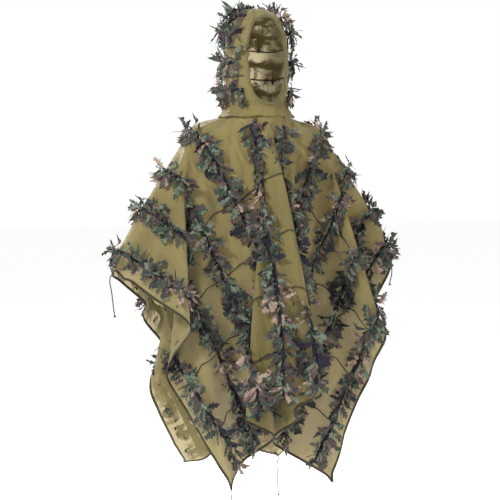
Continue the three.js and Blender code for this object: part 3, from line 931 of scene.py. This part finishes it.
def inner_stitches(height):
    """Painted shadow: a dark line inside the hood, in the cord's finish, that stands for the shadow of a cord or leaf
    strip outside, seen through the thin cloth.
    """
    front = face_edge(height, 0.004)
    turn = np.linspace(front, 2 * math.pi - front, 90)
    line, normals = hood_point(turn, height + 0.003 * np.sin(5 * turn), -0.0016)
    points, faces, uv = sweep(line, normals, round_section(0.0013, 6))
    return new_piece("inner_stitches", points, faces, material("cord"), uv)


def join_into(piece, extra):
    """Adds another mesh, with its own material, to a piece."""
    mesh = bmesh.new()
    mesh.from_mesh(piece.data)
    before = len(mesh.faces)
    mesh.from_mesh(extra.data)
    finish = extra.data.materials[0]
    if finish.name not in piece.data.materials:
        piece.data.materials.append(finish)
    slot = list(piece.data.materials).index(finish)
    mesh.faces.ensure_lookup_table()
    for face in mesh.faces[before:]:
        face.material_index = slot
    mesh.to_mesh(piece.data)
    mesh.free()
    bpy.data.objects.remove(extra)


def ride_cape(piece):
    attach(piece, CAPE)


class PONCHO_OT_garlands(bpy.types.Operator):
    """Sew leaf garlands along the cape, from hem to hem over the shoulders"""
    bl_idname = "poncho.garlands"
    bl_label = "Leaf garlands"

    def execute(self, context):
        surface = surfaces["cape"]
        rows = settings("poncho_garland").rows
        gap = 2 * surface.half[0] / rows
        for row in range(rows):
            u = -surface.half[0] + gap * (row + 0.5)
            beside = (NECK_HALF[0] + 0.018) ** 2 - u * u
            start = NECK_HALF[1] * math.sqrt(beside) / NECK_HALF[0] + 0.02 if beside > 0 else 0.0
            v = np.linspace(start, surface.half[1] - 0.022, 90)
            sway = 0.006 * np.sin(9 * v + 1.7 * row)
            for side, sign in (("front", -1), ("back", 1)):
                line, normals = surface.at(u + sway, sign * v, 0.004)
                garland(f"{side}_garland_{row + 1}", [(line, normals)], ride_cape, seed=row * 2 + (sign > 0))
        return {"FINISHED"}


class PONCHO_OT_hood_garlands(bpy.types.Operator):
    """Sew three leaf garlands and two cords round the hood"""
    bl_idname = "poncho.hood_garlands"
    bl_label = "Hood garlands"

    def execute(self, context):
        for number in (1, 2, 3):
            low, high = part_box(f"hood_garland_{number}")
            z = (low[2] + high[2]) / 2
            front = face_edge(z, 0.016)
            turn = np.linspace(front, 2 * math.pi - front, 90)
            line, normals = hood_point(turn, z + 0.003 * np.sin(5 * turn), 0.005)
            rows = [(line, normals)]
            if number == 3:
                turn = np.linspace(0.9, 2 * math.pi - 0.9, 70)
                rows.append(hood_point(turn, 0.262 + 0.006 * np.sin(4 * turn), 0.004))
            # painted shadow lines inside the hood, under the first and third garlands
            shadow_line_height = {1: 0.014, 3: 0.250}.get(number)
            shadow_line = inner_stitches(shadow_line_height) if shadow_line_height else None
            garland(f"hood_garland_{number}", rows, hood_moves, seed=60 + number, extra=shadow_line)
        for number in (1, 2):
            low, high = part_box(f"hood_garnish_cord_{number}")
            z = (low[2] + high[2]) / 2
            front = face_edge(z, 0.010)
            turn = np.linspace(front, 2 * math.pi - front, 90)
            line, normals = hood_point(turn, z + 0.002 * np.sin(7 * turn), 0.002)
            radius = settings("poncho_trim").cord_diameter / 2
            points, faces, uv = sweep(line, normals, round_section(radius, 7))
            cord = new_piece(f"hood_garnish_cord_{number}_braid", points, faces, material("cord"), uv)
            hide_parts(f"hood_garnish_cord_{number}")
            # a painted shadow line inside the hood, under this cord
            join_into(cord, inner_stitches(z))
            hood_moves(cord)
        return {"FINISHED"}


# ---- Garnish cords -----------------------------------------------------------------------------------------------
class PONCHO_OT_garnish_cords(bpy.types.Operator):
    """Lay thin cords across the cape, from garland to garland"""
    bl_idname = "poncho.garnish_cords"
    bl_label = "Garnish cords"

    def execute(self, context):
        surface = surfaces["cape"]
        radius = settings("poncho_trim").cord_diameter / 2
        across = np.linspace(-surface.half[0] + 0.022, surface.half[0] - 0.022, 260)
        for side, sign in (("front", -1), ("back", 1)):
            for number, v in enumerate((0.30, 0.48, 0.66, 0.84), 1):
                sag = 0.012 * np.abs(np.sin(math.pi * (across / 0.144)))
                line, normals = surface.at(across, sign * (v + sag), radius + 0.0008)
                points, faces, uv = sweep(line, normals, round_section(radius, 7))
                cord = new_piece(f"{side}_garnish_cord_{number}_braid", points, faces, material("cord"), uv)
                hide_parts(f"{side}_garnish_cord_{number}")
                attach(cord, CAPE)
        return {"FINISHED"}


# ---- Tie cords ------------------------------------------------------------------------------------------------------
TIE_PLACES = {"right_hand": (-1, 0), "left_hand": (1, 0), "front_right_corner": (-1, -1), "back_left_corner": (1, 1)}
TIE_STEPS = {
    "right_hand": ((0, 0, 0), (-4, 1, -8), (-5, 2, -22), (-2, 1, -40), (1, 0, -60), (3, -1, -80),
                   (5, -1, -98), (8, -1, -116)),
    "left_hand": ((0, 0, 0), (3, 1, -8), (2, 1, -22), (-3, 1, -40), (-3, 0, -58), (1, -1, -76),
                  (5, -1, -94), (8, -1, -112)),
    "front_right_corner": ((0, 0, 0), (1, 0, -6), (1, 0, -12), (0, 0, -20), (-1, 0, -28), (-1, 0, -36)),
    "back_left_corner": ((0, 0, 0), (-3, 0, -8), (-4, 0, -22), (-3, 0, -40), (-3, 0, -58), (-2, 0, -76),
                         (-1, 0, -94), (1, 0, -110)),
}


TIE_BOWS = {"left_hand": (0.013, -0.012, 0.0)}    # the braid keeps a bend, clear of the bound edge


def through(points, per_span):
    """A smooth line through the points."""
    points = np.asarray(points, float)
    padded = np.concatenate([2 * points[:1] - points[1:2], points, 2 * points[-1:] - points[-2:-1]])
    line = []
    for i in range(len(points) - 1):
        a, b, c, d = padded[i:i + 4]
        for t in np.linspace(0, 1, per_span, endpoint=False):
            line.append(0.5 * (2 * b + (c - a) * t + (2 * a - 5 * b + 4 * c - d) * t ** 2
                               + (3 * b - a - 3 * c + d) * t ** 3))
    line.append(points[-1])
    return np.array(line)


class PONCHO_OT_ties(bpy.types.Operator):
    """Hang the tie cords from the hands and the corners"""
    bl_idname = "poncho.ties"
    bl_label = "Tie cords"

    def execute(self, context):
        radius = settings("poncho_trim").tie_diameter / 2
        cloth_half = (settings("poncho_cape").width / 2, settings("poncho_cape").length / 2)
        for corner, steps in TIE_STEPS.items():
            low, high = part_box(f"{corner}_tie")
            steps = np.array(steps) / 1000
            top = np.array([low[0] + radius - steps[:, 0].min(), low[1] + radius - steps[:, 1].min(), high[2]])
            bow = np.sin(np.linspace(0, math.pi, len(steps)))
            steps = steps + np.outer(bow, TIE_BOWS.get(corner, (0.0, 0.0, 0.0)))
            u, v = (np.array([share * half]) for share, half in zip(TIE_PLACES[corner], cloth_half))
            line = through(np.concatenate([start_drape(u, v, 0), top + steps]), 4)
            points, faces, uv = sweep(line, np.tile((0.0, -1.0, 0.0), (len(line), 1)), round_section(radius, 10))
            cord = new_piece(f"{corner}_tie_braid", points, faces, material("cord"), uv)
            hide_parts(f"{corner}_tie")
            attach(cord, CAPE)
            low, high = (np.array(p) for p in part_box(f"{corner}_tie_knot"))
            middle = (low + high) / 2
            size = (high[2] - low[2]) / 2
            turn = np.linspace(0, 2 * math.pi, 40, endpoint=False)
            wind = np.stack([np.cos(2 * turn) * (1 + 0.35 * np.cos(3 * turn)),
                             np.sin(2 * turn) * (1 + 0.35 * np.cos(3 * turn)), 1.25 * np.sin(3 * turn)], -1)
            loop = middle + wind * size * 0.5
            points, faces, uv = sweep(loop, loop - middle, round_section(radius * 0.95, 8), closed=True)
            knot = new_piece(f"{corner}_tie_knot_braid", points, faces, material("cord"), uv)
            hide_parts(f"{corner}_tie_knot")
            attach(knot, CAPE)
        return {"FINISHED"}


# ---- Stage -------------------------------------------------------------------------------------------------------------
class PONCHO_OT_stage(bpy.types.Operator):
    """Set the camera, the soft studio light and the pale floor"""
    bl_idname = "poncho.stage"
    bl_label = "Stage"

    def execute(self, context):
        scene = context.scene
        azimuth, elevation, distance = math.radians(-20), math.radians(3), 4.6
        frame_height = 1.5
        right = Vector((math.cos(azimuth), math.sin(azimuth), 0))
        target = right * -0.018 + Vector((0, 0, -0.426))
        back = Vector((math.sin(azimuth) * math.cos(elevation), -math.cos(azimuth) * math.cos(elevation),
                       math.sin(elevation)))
        data = bpy.data.cameras.new("camera")
        data.sensor_width = 36
        data.lens = data.sensor_width * distance / frame_height
        camera = bpy.data.objects.new("camera", data)
        camera.location = target + back * distance
        camera.rotation_euler = (-back).to_track_quat("-Z", "Y").to_euler()
        scene.collection.objects.link(camera)
        scene.camera = camera
        floor_mesh = bpy.data.meshes.new("floor")
        floor_mesh.from_pydata([(-30, -30, 0), (30, -30, 0), (30, 30, 0), (-30, 30, 0)], [], [(0, 1, 2, 3)])
        floor = bpy.data.objects.new("floor", floor_mesh)
        floor.location.z = -1.5
        pale = bpy.data.materials.new("pale_floor")
        pale.use_nodes = True
        pale.node_tree.nodes["Principled BSDF"].inputs["Base Color"].default_value = (0.9, 0.9, 0.9, 1)
        pale.node_tree.nodes["Principled BSDF"].inputs["Roughness"].default_value = 0.9
        pale.node_tree.nodes["Principled BSDF"].inputs["Emission Color"].default_value = (1, 1, 1, 1)
        pale.node_tree.nodes["Principled BSDF"].inputs["Emission Strength"].default_value = 0.68
        floor_mesh.materials.append(pale)
        scene.collection.objects.link(floor)
        world = bpy.data.worlds.new("studio")
        world.use_nodes = True
        world.node_tree.nodes["Background"].inputs["Color"].default_value = (1.0, 1.0, 1.0, 1)
        world.node_tree.nodes["Background"].inputs["Strength"].default_value = 1.0
        ways = world.node_tree.nodes.new("ShaderNodeLightPath")
        level = world.node_tree.nodes.new("ShaderNodeMapRange")
        level.inputs["To Min"].default_value = 0.32
        level.inputs["To Max"].default_value = 1.0
        world.node_tree.links.new(ways.outputs["Is Camera Ray"], level.inputs["Value"])
        world.node_tree.links.new(level.outputs["Result"], world.node_tree.nodes["Background"].inputs["Strength"])
        scene.world = world
        lamps = (("key", (-3.4, -2.2, 2.6), 0.9, 270), ("fill", (2.8, -2.6, 0.6), 2.0, 52),
                 ("back", (0.4, 3.0, 1.6), 1.2, 85), ("hood back", (-0.3, 1.5, 0.55), 0.08, 55))
        for name, place, size, power in lamps:
            lamp = bpy.data.lights.new(name, "AREA")
            lamp.size, lamp.energy = size, power
            holder = bpy.data.objects.new(name, lamp)
            holder.location = place
            holder.rotation_euler = (Vector((0, 0, -0.4)) - Vector(place)).to_track_quat("-Z", "Y").to_euler()
            scene.collection.objects.link(holder)
        scene.view_settings.view_transform = "Standard"
        return {"FINISHED"}


class PONCHO_PT_panel(bpy.types.Panel):
    """The steps that make the poncho, in order"""
    bl_label = "Ghillie poncho"
    bl_idname = "PONCHO_PT_panel"
    bl_space_type = "VIEW_3D"
    bl_region_type = "UI"
    bl_category = "Poncho"

    def draw(self, context):
        for step in STEPS:
            self.layout.operator(step.bl_idname)


GROUPS = {"poncho_cape": PonchoCape, "poncho_trim": PonchoTrim, "poncho_garland": PonchoGarland,
          "poncho_colours": PonchoColours}
STEPS = (PONCHO_OT_stage, PONCHO_OT_ties, PONCHO_OT_cape, PONCHO_OT_bindings, PONCHO_OT_collar, PONCHO_OT_hood,
         PONCHO_OT_garlands, PONCHO_OT_hood_garlands, PONCHO_OT_garnish_cords)
CLASSES = (*GROUPS.values(), *STEPS, PONCHO_PT_panel)


def register():
    for cls in CLASSES:
        bpy.utils.register_class(cls)
    for name, group in GROUPS.items():
        setattr(bpy.types.Scene, name, bpy.props.PointerProperty(type=group))


def unregister():
    for name in GROUPS:
        delattr(bpy.types.Scene, name)
    for cls in reversed(CLASSES):
        bpy.utils.unregister_class(cls)


def main():
    register()
    for step in STEPS:
        family, name = step.bl_idname.split(".")
        getattr(getattr(bpy.ops, family), name)()


if __name__ == "__main__":
    main()
